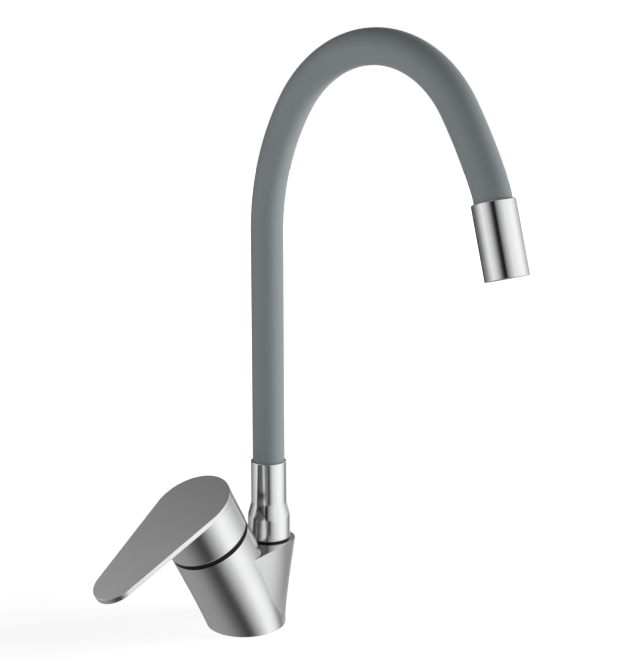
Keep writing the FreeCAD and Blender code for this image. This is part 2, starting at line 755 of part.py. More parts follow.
def make_lever_stem():
    body = new_body("lever_stem")
    bar = new_sketch(body, "bar_square", z=PIVOT_RISE - cell("stem_shoulder"))
    draw_rectangle(bar, cell("stem_width"), cell("stem_width"))
    pad(body, bar, "bar", cell("pivot_depth") + cell("stem_shoulder") + cell("stem_top_above_seam"))
    neck = new_sketch(body, "neck_circle", z=PIVOT_RISE - cell("stem_shoulder"))
    draw_circle(neck, cell("stem_neck_radius"))
    pad(body, neck, "neck", cell("stem_ball_drop") - cell("stem_shoulder"), reverse=True)
    ball = body.newObject("PartDesign::AdditiveSphere", "ball")
    bind(ball, "Radius", cell("stem_ball_radius"))
    support = next(f for f in body.Origin.OriginFeatures if f.Role == "XY_Plane")
    ball.AttachmentSupport = [(support, "")]
    ball.MapMode = "FlatFace"
    ball_rise = PIVOT_RISE - cell("stem_ball_drop")
    ball.AttachmentOffset = Placement(Vector(0, 0, ball_rise.value), Rotation())
    bind(ball, ".AttachmentOffset.Base.z", ball_rise)
    hole = new_sketch(body, "pin_way_circle", "XZ_Plane")
    draw_circle(hole, cell("pin_radius") + cell("running_gap"), y=PIVOT_RISE)
    pocket(body, hole, "pin_way", cell("stem_width") * 2, midplane=True)
    in_cartridge_frame(body)


def make_handle_fixings():
    rise = cell("seam_rise") + cell("grub_above_seam")
    screw = new_body("grub_screw")
    start = cell("stem_width") / 2 + cell("running_gap")
    circle = new_sketch(screw, "grub_circle", "YZ_Plane", z=start)
    draw_circle(circle, cell("grub_radius"), y=rise)
    pad(screw, circle, "grub", cell("grub_length"))
    hexagon = new_sketch(screw, "grub_hexagon", "YZ_Plane", z=start + cell("grub_length"))
    corner = cell("grub_hex_width") / 2 / cosine(as_dim(180 / HEX_SIDES))
    points = []
    for i in range(HEX_SIDES):
        turn = as_dim(360 / HEX_SIDES * i)
        points.append((corner * cosine(turn), rise + corner * sine(turn)))
    draw_polygon(hexagon, points)
    pocket(screw, hexagon, "grub_socket", cell("grub_hex_depth"))
    in_cartridge_frame(screw)

    plug = new_body("index_plug")
    outer_end = cell("cap_radius") - cell("index_plug_sink")
    circle = new_sketch(plug, "plug_circle", "YZ_Plane", z=outer_end - cell("index_plug_length"))
    draw_circle(circle, cell("grub_radius"), y=rise)
    pad(plug, circle, "plug", cell("index_plug_length"))
    in_cartridge_frame(plug)


# Swivel at the foot of the spout

def make_swivel():
    slip_outer = cell("collar_foot_radius") - cell("slip_ring_inset")
    slip_top = cell("column_top_height") + cell("slip_ring_height")
    slip_inner = cell("spigot_bore_radius") + cell("sleeve_socket_gap")
    in_spout_frame(ring("slip_ring", slip_inner, slip_outer, cell("column_top_height"), slip_top))

    flare_bottom = COLLAR_BOTTOM + cell("collar_foot_height")
    flare_top = flare_bottom + cell("collar_flare_height")
    collar_profile = [
        (cell("spigot_bore_radius"), COLLAR_BOTTOM), (cell("collar_foot_radius"), COLLAR_BOTTOM),
        (cell("collar_foot_radius"), flare_bottom), (cell("collar_neck_radius"), flare_top),
        (cell("collar_neck_radius"), COLLAR_TOP), (SOCKET_RADIUS, COLLAR_TOP),
        (SOCKET_RADIUS, SPIGOT_TOP), (cell("spigot_bore_radius"), SPIGOT_TOP),
    ]
    collar = turned("swivel_collar", collar_profile)
    edges = tip_edges(collar, cell("collar_foot_radius"), flare_bottom)
    edges += tip_edges(collar, cell("collar_neck_radius"), flare_top)
    round_edges(collar, "collar_flare", cell("collar_flare_round"), edges)
    edges = tip_edges(collar, cell("collar_neck_radius"), COLLAR_TOP)
    round_edges(collar, "collar_lip", cell("collar_lip_round"), edges)
    in_spout_frame(collar)

    grooves = []
    half = cell("o_ring_groove_width") / 2
    depth_radius = SPIGOT_RADIUS - cell("o_ring_cord_radius") * 2
    spigot_profile = [(cell("spigot_bore"), SPIGOT_BOTTOM), (SPIGOT_RADIUS, SPIGOT_BOTTOM)]
    grooves.append((cell("o_ring_low_height"), half, depth_radius))
    grooves.append((cell("retaining_height"), cell("retaining_groove_width") / 2, cell("retaining_groove_radius")))
    grooves.append((cell("o_ring_high_height"), half, depth_radius))
    for height, half_width, radius in grooves:
        spigot_profile += [(SPIGOT_RADIUS, height - half_width), (radius, height - half_width)]
        spigot_profile += [(radius, height + half_width), (SPIGOT_RADIUS, height + half_width)]
    spigot_profile += [(SPIGOT_RADIUS, SPIGOT_TOP), (cell("spigot_bore"), SPIGOT_TOP)]
    in_spout_frame(turned("swivel_spigot", spigot_profile))

    rings = []
    for name in ("o_ring_low", "o_ring_high"):
        radius = SPIGOT_RADIUS - cell("o_ring_cord_radius")
        rings.append(o_ring(name, radius, cell("o_ring_cord_radius"), cell(f"{name}_height")))
    in_spout_frame(group_of("spigot_o_rings", rings))

    screw = new_body("spout_retaining_screw")
    start = cell("retaining_groove_radius") + cell("retaining_tip_gap")
    circle = new_sketch(screw, "retaining_circle", "XZ_Plane", z=-start)
    draw_circle(circle, cell("retaining_screw_radius"), y=cell("retaining_height"))
    pad(screw, circle, "shank", cell("retaining_screw_length"), reverse=True)
    in_spout_frame(screw)

    ferrule_profile = ferrule_outline(SPIGOT_TOP, 1)
    in_spout_frame(turned("lower_hose_ferrule", ferrule_profile))


def ferrule_outline(start, direction):
    """A crimped hose end: a base that fills the socket and a barb that grips the gooseneck."""
    barb_radius = GOOSENECK_BORE - cell("layer_gap")
    base_end = start + cell("ferrule_base_height") * direction
    barb_end = base_end + cell("ferrule_barb_length") * direction
    return [
        (cell("ferrule_bore"), start), (FERRULE_RADIUS, start), (FERRULE_RADIUS, base_end),
        (barb_radius, base_end), (barb_radius, barb_end), (cell("ferrule_bore"), barb_end),
    ]


# Route of the flexible spout, in the plane through the spout axis
# It rises straight, then follows four arcs that turn one into the next

ROUTE_START = FERRULE_TOP
ROUTE_RUN = cell("route_turn_height") - ROUTE_START
ROUTE_ARCS = (
    (cell("shoulder_radius"), cell("shoulder_turn")),
    (cell("crown_radius"), cell("crown_turn")),
    (cell("fall_radius"), cell("fall_turn")),
    (cell("mouth_radius"), cell("mouth_turn")),
)


def route_end():
    """Forward reach, height and heading where the last arc ends."""
    forward = ZERO
    height = cell("route_turn_height")
    heading = ZERO
    for radius, turn in ROUTE_ARCS:
        after = heading + turn
        forward = forward + radius * (cosine(heading) - cosine(after))
        height = height + radius * (sine(after) - sine(heading))
        heading = after
    return forward, height, heading


MOUTH_FORWARD, MOUTH_HEIGHT, MOUTH_HEADING = route_end()
HEAD_LEAN = as_dim(180.0) - MOUTH_HEADING
HEAD_TOP_FORWARD = MOUTH_FORWARD + sine(MOUTH_HEADING) * cell("mouth_run")
HEAD_TOP_HEIGHT = MOUTH_HEIGHT + cosine(MOUTH_HEADING) * cell("mouth_run")
HEAD_FORWARD = HEAD_TOP_FORWARD + sine(MOUTH_HEADING) * cell("head_length")
HEAD_HEIGHT = HEAD_TOP_HEIGHT + cosine(MOUTH_HEADING) * cell("head_length")
SOCKET_DEPTH = cell("head_socket_depth")


def route_point(forward, height):
    return Vector(SIZES["spout_offset"], -forward, height)


def route_wire(start, end):
    """The part of the route between two lengths along it, as tangent lines and arcs."""
    pieces = [("run", ROUTE_RUN.value, 0.0)]
    pieces += [("arc", radius.value * math.radians(turn.value), radius.value) for radius, turn in ROUTE_ARCS]
    pieces.append(("run", cell("mouth_run").value + cell("head_length").value, 0.0))
    edges = []
    forward = 0.0
    height = ROUTE_START.value
    heading = 0.0
    done = 0.0
    for kind, length, radius in pieces:
        low = max(start, done) - done
        high = min(end, done + length) - done
        if kind == "run":
            ends = [route_point(forward + s * math.sin(heading), height + s * math.cos(heading)) for s in (low, high)]
            if high - low > 1e-6:
                edges.append(Part.LineSegment(*ends).toShape())
            forward += length * math.sin(heading)
            height += length * math.cos(heading)
        else:
            centre_forward = forward + radius * math.cos(heading)
            centre_height = height - radius * math.sin(heading)
            points = []
            for s in (low, (low + high) / 2, high):
                turned_to = heading + s / radius
                points.append(route_point(centre_forward - radius * math.cos(turned_to),
                                          centre_height + radius * math.sin(turned_to)))
            if high - low > 1e-6:
                edges.append(Part.Arc(*points).toShape())
            heading += length / radius
            forward = centre_forward - radius * math.cos(heading)
            height = centre_height + radius * math.sin(heading)
        done += length
    return Part.Wire(edges)


def swept_solid(wire, radius):
    first = wire.OrderedEdges[0]
    start = first.valueAt(first.FirstParameter)
    heading = first.tangentAt(first.FirstParameter)
    section = Part.Wire(Part.Circle(start, heading, radius).toShape())
    return wire.makePipeShell([section], True, False)


def hose_piece(label, start, end, outer, inner):
    """One length of a hose layer along the route, open right through."""
    wire = route_wire(start, end)
    solid = swept_solid(wire, outer.value).cut(swept_solid(wire, inner.value))
    wanted = math.pi * (outer.value ** 2 - inner.value ** 2) * wire.Length
    print(label, "length", round(wire.Length, 2), "volume ratio", round(solid.Volume / wanted, 4))
    piece = doc.addObject("Part::Feature", label)
    piece.Label = label
    piece.Shape = solid
    return piece


def make_flexible_spout():
    arc_ends = [ROUTE_RUN.value]
    for radius, turn in ROUTE_ARCS:
        arc_ends.append(arc_ends[-1] + radius.value * math.radians(turn.value))
    mouth = arc_ends[-1] + cell("mouth_run").value
    half = cell("flex_length").value / 2
    centres = (cell("lower_bend_height").value - ROUTE_START.value, arc_ends[1], arc_ends[2])
    flexes = ("flex_lower", "flex_shoulder", "flex_outlet")
    stiffs = ("foot", "riser", "crown", "outlet")
    layers = (
        ("sleeve", cell("sleeve_radius"), SLEEVE_BORE, cell("sleeve_lap").value, cell("sleeve_lap").value),
        ("gooseneck", GOOSENECK_RADIUS, GOOSENECK_BORE, 0.0, 0.0),
        ("water_tube", WATER_TUBE_RADIUS, WATER_TUBE_BORE, cell("ferrule_barb_length").value,
         cell("ferrule_barb_length").value),
    )
    inner_end = mouth + SOCKET_DEPTH.value
    for layer, outer, inner, start_gap, end_gap in layers:
        marks = [start_gap]
        for centre in centres:
            marks += [centre - half, centre + half]
        marks.append(inner_end - end_gap)
        for i, name in enumerate(stiffs):
            hose_piece(f"{layer}_{name}", marks[2 * i], marks[2 * i + 1], outer, inner)
        for i, name in enumerate(flexes):
            hose_piece(f"{layer}_{name}", marks[2 * i + 1], marks[2 * i + 2], outer, inner)


# Outlet head, drawn upright on its mouth and then leaned with the end of the hose

def in_head_frame(thing):
    place(thing, x=cell("spout_offset"), y=-HEAD_FORWARD, z=HEAD_HEIGHT,
          axis=Vector(1, 0, 0), angle=-HEAD_LEAN)
    return thing


def make_head():
    socket_floor = cell("head_length") - SOCKET_DEPTH - cell("ferrule_base_height")
    ledge_top = cell("aerator_bore_depth") + cell("aerator_ledge_height")
    shell_profile = [
        (cell("aerator_bore_radius"), ZERO), (cell("head_radius"), ZERO),
        (cell("head_radius"), cell("head_length")), (SOCKET_RADIUS, cell("head_length")),
        (SOCKET_RADIUS, socket_floor), (cell("aerator_ledge_radius"), socket_floor),
        (cell("aerator_ledge_radius"), cell("aerator_bore_depth")),
        (cell("aerator_bore_radius"), cell("aerator_bore_depth")),
    ]
    if socket_floor.value < ledge_top.value:
        print("thin ledge in the head", socket_floor.value, ledge_top.value)
    shell = turned("head_shell", shell_profile)
    edges = tip_edges(shell, cell("head_radius"), cell("head_length"))
    round_edges(shell, "head_top_edge", cell("head_top_round"), edges)
    edges = tip_edges(shell, cell("head_radius"), ZERO)
    round_edges(shell, "head_bottom_edge", cell("head_bottom_round"), edges)
    in_head_frame(shell)

    ferrule_start = socket_floor
    barb_radius = GOOSENECK_BORE - cell("layer_gap")
    base_end = ferrule_start + cell("ferrule_base_height")
    barb_end = base_end + cell("ferrule_barb_length")
    ferrule_profile = [
        (cell("ferrule_bore"), ferrule_start), (FERRULE_RADIUS, ferrule_start), (FERRULE_RADIUS, base_end),
        (barb_radius, base_end), (barb_radius, barb_end), (cell("ferrule_bore"), barb_end),
    ]
    in_head_frame(turned("outlet_hose_ferrule", ferrule_profile))

    gasket_bottom = cell("aerator_bore_depth") - cell("aerator_gasket_height")
    in_head_frame(ring("aerator_gasket", cell("aerator_ledge_radius"), cell("aerator_radius"),
                       gasket_bottom, cell("aerator_bore_depth")))
    housing_inner = cell("aerator_radius") - cell("aerator_wall")
    housing_top = cell("aerator_recess") + cell("aerator_height")
    housing_top = Dim(min(housing_top.value, gasket_bottom.value),
                      f"min({housing_top.text}; {gasket_bottom.text})")
    in_head_frame(ring("aerator_housing", housing_inner, cell("aerator_radius"), cell("aerator_recess"), housing_top))

    insert_bottom = cell("aerator_recess") + cell("head_bottom_round")
    insert_radius = housing_inner - cell("running_gap")
    insert = ring("aerator_insert", as_dim(0.0), insert_radius, insert_bottom, insert_bottom + cell("insert_height"))
    hole = new_sketch(insert, "jet_circle", z=insert_bottom)
    draw_circle(hole, cell("insert_hole_radius"), x=cell("insert_hole_circle"))
    jet = pocket(insert, hole, "jet", cell("insert_height"), reverse=True)
    polar(insert, jet, "jets", cell("insert_hole_count"))
    in_head_frame(insert)


make_body_casting()
make_base_seal()
make_cartridge()
make_lever_handle()
make_lever_stem()
make_handle_fixings()
make_swivel()
make_flexible_spout()
make_head()
doc.recompute()

NODES = [
    "body_casting", "base_seal", "cartridge_base", "port_seals", "fixed_disc", "cartridge_can",
    "retaining_nut", "dust_ring", "slip_ring", "spout_retaining_screw", "turret", "pivot_pin",
    "moving_disc", "disc_carrier", "lever_handle", "lever_stem", "grub_screw", "index_plug",
    "swivel_collar", "swivel_spigot", "spigot_o_rings", "lower_hose_ferrule",
]
for layer in ("sleeve", "gooseneck", "water_tube"):
    for name in ("foot", "flex_lower", "riser", "flex_shoulder", "crown", "flex_outlet", "outlet"):
        NODES.append(f"{layer}_{name}")
NODES += ["head_shell", "outlet_hose_ferrule", "aerator_gasket", "aerator_housing", "aerator_insert"]

for thing in doc.Objects:
    for state in ("Invalid", "Error"):
        if state in thing.State:
            raise RuntimeError(f"{thing.Name} is {state}")

os.makedirs("parts", exist_ok=True)
for label in NODES:
    shape = doc.getObjectsByLabel(label)[0].Shape
    if shape.isNull() or not shape.isValid():
        raise RuntimeError(f"{label} has no valid shape")
    print(label, len(shape.Solids), round(shape.Volume, 1))
    shape.exportStep(f"parts/{label}.step")
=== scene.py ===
import json
import math

import bpy
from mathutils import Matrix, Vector


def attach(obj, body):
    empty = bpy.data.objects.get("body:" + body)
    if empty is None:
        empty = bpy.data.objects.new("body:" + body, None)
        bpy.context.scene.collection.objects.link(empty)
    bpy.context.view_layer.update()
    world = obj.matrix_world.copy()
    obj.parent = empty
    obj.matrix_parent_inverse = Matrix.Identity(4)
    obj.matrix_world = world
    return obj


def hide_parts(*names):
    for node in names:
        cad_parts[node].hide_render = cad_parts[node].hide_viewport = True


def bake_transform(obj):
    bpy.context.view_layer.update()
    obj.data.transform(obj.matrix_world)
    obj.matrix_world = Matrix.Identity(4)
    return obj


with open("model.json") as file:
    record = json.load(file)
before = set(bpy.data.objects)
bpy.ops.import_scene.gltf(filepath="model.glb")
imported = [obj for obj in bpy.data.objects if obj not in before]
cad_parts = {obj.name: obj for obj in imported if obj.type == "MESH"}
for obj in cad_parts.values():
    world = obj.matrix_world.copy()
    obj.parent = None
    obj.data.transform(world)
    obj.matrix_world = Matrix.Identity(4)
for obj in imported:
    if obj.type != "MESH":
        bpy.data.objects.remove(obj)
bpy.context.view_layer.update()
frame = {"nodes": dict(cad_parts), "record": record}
nodes = frame["nodes"]

# Flexible kitchen tap. Metres, in the CAD model's frame: Z is up, the lever points to -X,
# and the spout stands on the +X side and reaches forward to -Y.

MM = 0.001
CARTRIDGE_TILT = math.radians(28.8)
CARTRIDGE_FOOT = 4.14 * MM
SPOUT_X = 20.56 * MM

bpy.context.scene.view_settings.view_transform = "Standard"


# Camera at the photograph's angle

CAMERA_PLACE = (-0.45966, -0.50903, 0.30638)
CAMERA_PITCH = math.radians(9.91)
CAMERA_HEADING = Vector((0.716, 0.698, 0)).normalized()
CAMERA_LENS = 62.52
SENSOR_WIDTH = 36
CLIP_START = 0.01

camera = bpy.data.objects.new("camera", bpy.data.cameras.new("camera"))
bpy.context.scene.collection.objects.link(camera)
camera.location = CAMERA_PLACE
gaze = CAMERA_HEADING * math.cos(CAMERA_PITCH) - Vector((0, 0, math.sin(CAMERA_PITCH)))
camera.rotation_euler = gaze.to_track_quat("-Z", "Y").to_euler()
camera.data.lens = CAMERA_LENS
camera.data.sensor_width = SENSOR_WIDTH
camera.data.clip_start = CLIP_START
bpy.context.scene.camera = camera


# Node helpers

def node_adder(tree):
    """A helper that adds nodes to a tree, with their inputs or settings by name."""
    def add(kind, **settings):
        node = tree.nodes.new(kind)
        for key, value in settings.items():
            if key in node.inputs:
                node.inputs[key].default_value = value
            else:
                setattr(node, key, value)
        return node

    return add


def node_material(name):
    """A new material, with what adds and links its nodes and its shader."""
    material = bpy.data.materials.new(name)
    material.use_nodes = True
    tree = material.node_tree
    return material, tree.links.new, tree.nodes["Principled BSDF"], node_adder(tree)


def ramp(add, stops):
    """A colour ramp from (place, colour) stops."""
    node = add("ShaderNodeValToRGB")
    elements = node.color_ramp.elements
    while len(elements) < len(stops):
        elements.new(0.5)
    for element, (place, colour) in zip(elements, stops):
        element.position = place
        element.color = (*colour, 1)
    return node


def between(add, link, value, low, high, start=0.0, end=1.0):
    """The value from start to end, spread over low to high and held at both ends."""
    node = add("ShaderNodeMapRange")
    for name, bound in (("From Min", start), ("From Max", end), ("To Min", low), ("To Max", high)):
        if isinstance(bound, bpy.types.NodeSocket):
            link(bound, node.inputs[name])
        else:
            node.inputs[name].default_value = bound
    link(value, node.inputs["Value"])
    return node.outputs["Result"]


def reckon(add, link, operation, *terms):
    """The result of a maths node on sockets and plain numbers."""
    node = add("ShaderNodeMath", operation=operation)
    for socket, term in zip(node.inputs, terms):
        if isinstance(term, bpy.types.NodeSocket):
            link(term, socket)
        else:
            socket.default_value = term
    return node.outputs[0]


def vector_sum(add, link, operation, first, second=None):
    """A vector maths node on a socket and, where it takes two, a socket or plain numbers."""
    node = add("ShaderNodeVectorMath", operation=operation)
    link(first, node.inputs[0])
    if isinstance(second, bpy.types.NodeSocket):
        link(second, node.inputs[1])
    elif second:
        node.inputs[1].default_value = second
    return node


def mapped(add, link, vector, setting, value):
    """The vector after one setting of a mapping: Location, Rotation or Scale."""
    node = add("ShaderNodeMapping", vector_type="POINT")
    node.inputs[setting].default_value = value
    link(vector, node.inputs["Vector"])
    return node.outputs["Vector"]


def noise(add, link, vector, **settings):
    node = add("ShaderNodeTexNoise", **settings)
    link(vector, node.inputs["Vector"])
    return node.outputs["Fac"]


# Finishes

STEEL_TONE = 0.75
STEEL_FADE = (0.95, 0.955, 0.96)
STEEL_SPREAD = 0.035
FINE_LINES = (30, 30, 2600)
ACROSS_DRAWING = 0.25
WORN_EDGE = 0.3 * MM
GRAIN_STRENGTH = 0.05
GRAIN_DEPTH = 0.1 * MM
DARKER_GRAIN = 0.86
PLASTIC_SHINE = 0.2
SWELL_START = 13.0 * MM
SWELL_END = 25.5 * MM
SWELL_LEAN = 0.19
SWELL_CURVE = 2.0
PICTURE_RIGHT = (0.698, -0.716, 0)
COLUMN_SIDE = (0.975, 0.22, 0)


def grained(add, link, shader, mottle, tones, fine, smooth, matt):
    """Colour by one noise, roughness and a shallow bump by another; gives the bump."""
    tint = ramp(add, tones)
    link(mottle, tint.inputs["Fac"])
    link(tint.outputs["Color"], shader.inputs["Base Color"])
    link(between(add, link, fine, smooth, matt), shader.inputs["Roughness"])
    bump = add("ShaderNodeBump", Strength=GRAIN_STRENGTH, Distance=GRAIN_DEPTH)
    link(fine, bump.inputs["Height"])
    link(bump.outputs["Normal"], shader.inputs["Normal"])
    return bump


def swell(add, link, place, normal):
    """Lean the normals outward near the column's right edge, as on a rounder casting."""
    reach = vector_sum(add, link, "DOT_PRODUCT", place, PICTURE_RIGHT).outputs["Value"]
    past = between(add, link, reach, 0.0, 1.0, SWELL_START, SWELL_END)
    parts = add("ShaderNodeSeparateXYZ")
    link(normal, parts.inputs["Vector"])
    level = reckon(add, link, "ABSOLUTE", parts.outputs["Z"])
    lean = reckon(add, link, "MULTIPLY", reckon(add, link, "POWER", past, SWELL_CURVE),
                  between(add, link, level, SWELL_LEAN, 0.0))
    push = add("ShaderNodeVectorMath", operation="SCALE")
    push.inputs[0].default_value = COLUMN_SIDE
    link(lean, push.inputs["Scale"])
    total = vector_sum(add, link, "ADD", normal, push.outputs["Vector"])
    return vector_sum(add, link, "NORMALIZE", total.outputs["Vector"]).outputs["Vector"]


def satin_steel(name, roughness, tilt=0.0, foot=0.0, edge=0.0, swelling=False, drawn=0.0):
    """Satin nickel over turned or ground faces, with fine lines round the piece's own axis."""
    material, link, shader, add = node_material(name)
    place = add("ShaderNodeTexCoord").outputs["Object"]
    on_axis = mapped(add, link, mapped(add, link, place, "Location", (-foot, 0, 0)),
                     "Rotation", (0, tilt, 0))
    lines = noise(add, link, mapped(add, link, on_axis, "Scale", FINE_LINES),
                  Scale=1.0, Detail=3.0, Roughness=0.6)
    cloud = noise(add, link, on_axis, Scale=55.0, Detail=5.0, Roughness=0.6)
    faded = tuple(STEEL_TONE * share for share in STEEL_FADE)
    bump = grained(add, link, shader, cloud, [(0.3, faded), (0.7, (STEEL_TONE,) * 3)],
                   lines, smooth=roughness - STEEL_SPREAD, matt=roughness + STEEL_SPREAD)
    if edge:
        normal = add("ShaderNodeBevel", Radius=edge).outputs["Normal"]
        if swelling:
            normal = swell(add, link, place, normal)
        link(normal, bump.inputs["Normal"])
    if drawn:
        along = add("ShaderNodeTangent", direction_type="RADIAL", axis="Z")
        link(along.outputs["Tangent"], shader.inputs["Tangent"])
        shader.inputs["Anisotropic"].default_value = drawn
        shader.inputs["Anisotropic Rotation"].default_value = ACROSS_DRAWING
    shader.inputs["Metallic"].default_value = 1.0
    return material


def silicone(name):
    """Grey matt silicone with a faint skin and a little dust in its tone."""
    material, link, shader, add = node_material(name)
    place = add("ShaderNodeTexCoord").outputs["Object"]
    skin = noise(add, link, place, Scale=900.0, Detail=4.0, Roughness=0.6)
    cloud = noise(add, link, place, Scale=22.0, Detail=3.0)
    tones = [(0.3, (0.165, 0.187, 0.193)), (0.7, (0.178, 0.2, 0.206))]
    grained(add, link, shader, cloud, tones, skin, smooth=0.5, matt=0.62)
    shader.inputs["Sheen Weight"].default_value = 0.15
    return material


def plain_stuff(name, colour, roughness, metallic=0.0, scale=300.0):
    """Moulded, turned or fired stuff: a base colour that varies a little, with a fine grain."""
    material, link, shader, add = node_material(name)
    place = add("ShaderNodeTexCoord").outputs["Object"]
    grain = noise(add, link, place, Scale=scale, Detail=4.0)
    darker = tuple(c * DARKER_GRAIN for c in colour)
    grained(add, link, shader, grain, [(0.35, darker), (0.65, colour)],
            grain, smooth=roughness * 0.85, matt=min(1.0, roughness * 1.15))
    shader.inputs["Metallic"].default_value = metallic
    if not metallic:
        shader.inputs["Specular IOR Level"].default_value = PLASTIC_SHINE
    return material


slanted_steel = satin_steel("slanted_steel", 0.22, CARTRIDGE_TILT, CARTRIDGE_FOOT, WORN_EDGE)
cast_steel = satin_steel(
    "cast_steel", 0.22, CARTRIDGE_TILT, CARTRIDGE_FOOT, WORN_EDGE, swelling=True)
upright_steel = satin_steel("upright_steel", 0.11, foot=SPOUT_X)
collar_steel = satin_steel("collar_steel", 0.15, foot=SPOUT_X, drawn=0.8)
sleeve_silicone = silicone("sleeve_silicone")
dark_plastic = plain_stuff("dark_plastic", (0.009, 0.009, 0.01), 0.5)
pale_plastic = plain_stuff("pale_plastic", (0.6, 0.6, 0.58), 0.4)
black_seal = plain_stuff("black_seal", (0.012, 0.012, 0.012), 0.6)
ceramic = plain_stuff("ceramic", (0.8, 0.78, 0.74), 0.15, scale=900.0)
turned_brass = plain_stuff("turned_brass", (0.62, 0.45, 0.2), 0.28, metallic=1.0, scale=600.0)
inner_steel = plain_stuff("inner_steel", (0.5, 0.51, 0.52), 0.3, metallic=1.0, scale=600.0)
water_pipe = plain_stuff("water_pipe", (0.75, 0.76, 0.74), 0.35)

by_slot = {
    "steel": upright_steel, "inner_steel": inner_steel, "silicone": sleeve_silicone,
    "tube": water_pipe, "seal": black_seal, "dark_plastic": dark_plastic,
    "pale_plastic": pale_plastic, "ceramic": ceramic, "brass": turned_brass,
}


def dress(name, material):
    node = nodes[name]
    node.data.materials.clear()
    node.data.materials.append(material)


for part in frame["record"]["subparts"]:
    dress(part["node"], by_slot[part["material_slot"]])
dress("body_casting", cast_steel)
dress("swivel_collar", collar_steel)
dress("lever_handle", slanted_steel)


# Drawing helpers. Points nearer than CLOSE count as one.

CLOSE = 1e-6


def draw_ring(name, points, radius, place, lean=0.0):
    """Start a piece as a ring of edges, settled in its mesh and selected in edit mode."""
    bpy.ops.object.select_all(action="DESELECT")
    bpy.ops.mesh.primitive_circle_add(
        vertices=points, radius=radius, fill_type="NOTHING", location=place, rotation=(lean, 0, 0))
    piece = bpy.context.object
    piece.name = name
    bpy.ops.object.transform_apply(location=True, rotation=True, scale=True)
    bpy.ops.object.mode_set(mode="EDIT")
    bpy.ops.mesh.select_all(action="SELECT")
    return piece


def extrude(shift):
    """Draw the selection on by a shift, joined to where it was."""
    bpy.ops.mesh.extrude_region_move(TRANSFORM_OT_translate={"value": shift})


def turned_profile(radius, height, steps):
    """Draw on from a selected upright ring, by the next radius and height of each step."""
    for next_radius, next_height in steps:
        extrude((0, 0, next_height - height))
        scale = next_radius / radius
        bpy.ops.transform.resize(value=(scale, scale, 1), center_override=(0, 0, next_height))
        radius, height = next_radius, next_height


def face_outward():
    bpy.ops.mesh.select_all(action="SELECT")
    bpy.ops.mesh.normals_make_consistent(inside=False)


def weld():
    """Merge doubled vertices, turn the faces outward and leave edit mode."""
    bpy.ops.mesh.select_all(action="SELECT")
    bpy.ops.mesh.remove_doubles(threshold=CLOSE)
    face_outward()
    bpy.ops.object.mode_set(mode="OBJECT")


def apply_modifier(piece, kind, **settings):
    modifier = piece.modifiers.new(kind.lower(), kind)
    for key, value in settings.items():
        setattr(modifier, key, value)
    bpy.ops.object.modifier_apply(modifier=modifier.name)


# Flexible spout: three layers, each one even tube along the route. They are made in three
# lengths, and each length spans the place of one of the spout's joints.

ROUTE_START = 72.85 * MM
ROUTE_TURN = 245.0 * MM
ROUTE_ARCS = (
    (130.6 * MM, math.radians(35.6)),
    (72.0 * MM, math.radians(112.9)),
    (303.0 * MM, math.radians(8.4)),
    (40.0 * MM, math.radians(8.7)),
)
MOUTH_RUN = 1.0 * MM
SOCKET_DEPTH = 12.0 * MM
LOWER_BEND = 160.0 * MM
RISER_SPLIT = 200.0 * MM
FLEX_HALF = 30.0 * MM
TUBE_STEP = 2.6 * MM
TUBE_POINTS = 64
TUBE_SMOOTHING = math.radians(40)


def route_pieces():
    """The route as (kind, length, radius) from its start to the spout's inner end."""
    pieces = [("run", ROUTE_TURN - ROUTE_START, 0.0)]
    pieces += [("arc", radius * turn, radius) for radius, turn in ROUTE_ARCS]
    pieces.append(("run", MOUTH_RUN + SOCKET_DEPTH, 0.0))
    return pieces


ROUTE = route_pieces()
ROUTE_LENGTH = sum(length for _, length, _ in ROUTE)
SHOULDER_END = ROUTE[0][1] + ROUTE[1][1]
CROWN_END = SHOULDER_END + ROUTE[2][1]
CROWN_SPLIT = (SHOULDER_END + CROWN_END) / 2


def route_point(distance):
    """Forward reach, height and heading from the vertical at a distance along the route."""
    forward, height, heading = 0.0, ROUTE_START, 0.0
    for kind, length, radius in ROUTE:
        step = min(length, distance)
        if kind == "run":
            forward += step * math.sin(heading)
            height += step * math.cos(heading)
        else:
            turn = step / radius
            forward += radius * (math.cos(heading) - math.cos(heading + turn))
            height += radius * (math.sin(heading + turn) - math.sin(heading))
            heading += turn
        distance -= step
        if distance <= 0:
            break
    return forward, height, heading


def in_space(forward, height):
    """A point of the spout's upright plane."""
    return (SPOUT_X, -forward, height)


def tube_along_route(name, start, end, radius, wall):
    """A tube drawn as by hand: a circle, extruded along each run and spun round each arc."""
    forward, height, heading = route_point(start)
    tube = draw_ring(name, TUBE_POINTS, radius, in_space(forward, height), heading)
    done = 0.0
    for kind, length, bend in ROUTE:
        low, high = max(start, done), min(end, done + length)
        if high - low > CLOSE:
            steps = max(1, round((high - low) / TUBE_STEP))
            forward, height, heading = route_point(low)
            if kind == "run":
                step = (high - low) / steps
                for _ in range(steps):
                    extrude((0, -step * math.sin(heading), step * math.cos(heading)))
            else:
                centre = in_space(forward + bend * math.cos(heading),
                                  height - bend * math.sin(heading))
                bpy.ops.mesh.spin(
                    steps=steps, angle=-(high - low) / bend, center=centre, axis=(1, 0, 0))
        done += length
    weld()
    apply_modifier(tube, "SOLIDIFY", thickness=wall, offset=-1)
    bpy.ops.object.shade_smooth_by_angle(angle=TUBE_SMOOTHING)
    return tube


def bend_line(distance):
    """Two points on the route's tangent, one each side of a bend."""
    forward, height, heading = route_point(distance)
    reach = (FLEX_HALF * math.sin(heading), FLEX_HALF * math.cos(heading))
    return (in_space(forward - reach[0], height - reach[1]),
            in_space(forward + reach[0], height + reach[1]))


